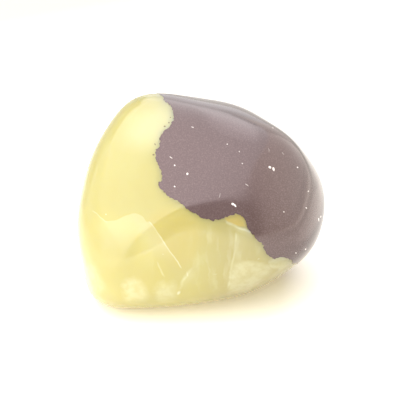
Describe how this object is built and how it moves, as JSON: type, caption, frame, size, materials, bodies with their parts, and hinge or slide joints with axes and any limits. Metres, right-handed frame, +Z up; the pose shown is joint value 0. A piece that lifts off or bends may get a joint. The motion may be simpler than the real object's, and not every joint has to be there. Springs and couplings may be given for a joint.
{
  "type": "polished prehnite specimen on basalt",
  "caption": "Tumbled, polished pebble of translucent yellow-green prehnite grown against dark mauve-brown basalt, with a small flat foot that it rests on.",
  "frame": {"origin": "on the resting surface, under the middle of the stone's box", "axes": "+X along the stone's longest extent, towards its basalt nose; +Y to the back; +Z up, square to the flat foot"},
  "size_m": [0.034, 0.0298, 0.0281],
  "materials": {
    "prehnite": "polished, translucent yellow-green with cloudy veils and healed cracks",
    "basalt": "polished, opaque mauve-brown, fine-grained with small white specks"
  },
  "bodies": {
    "root": {"prehnite": "prehnite", "basalt_matrix": "basalt"}
  },
  "joints": []
}
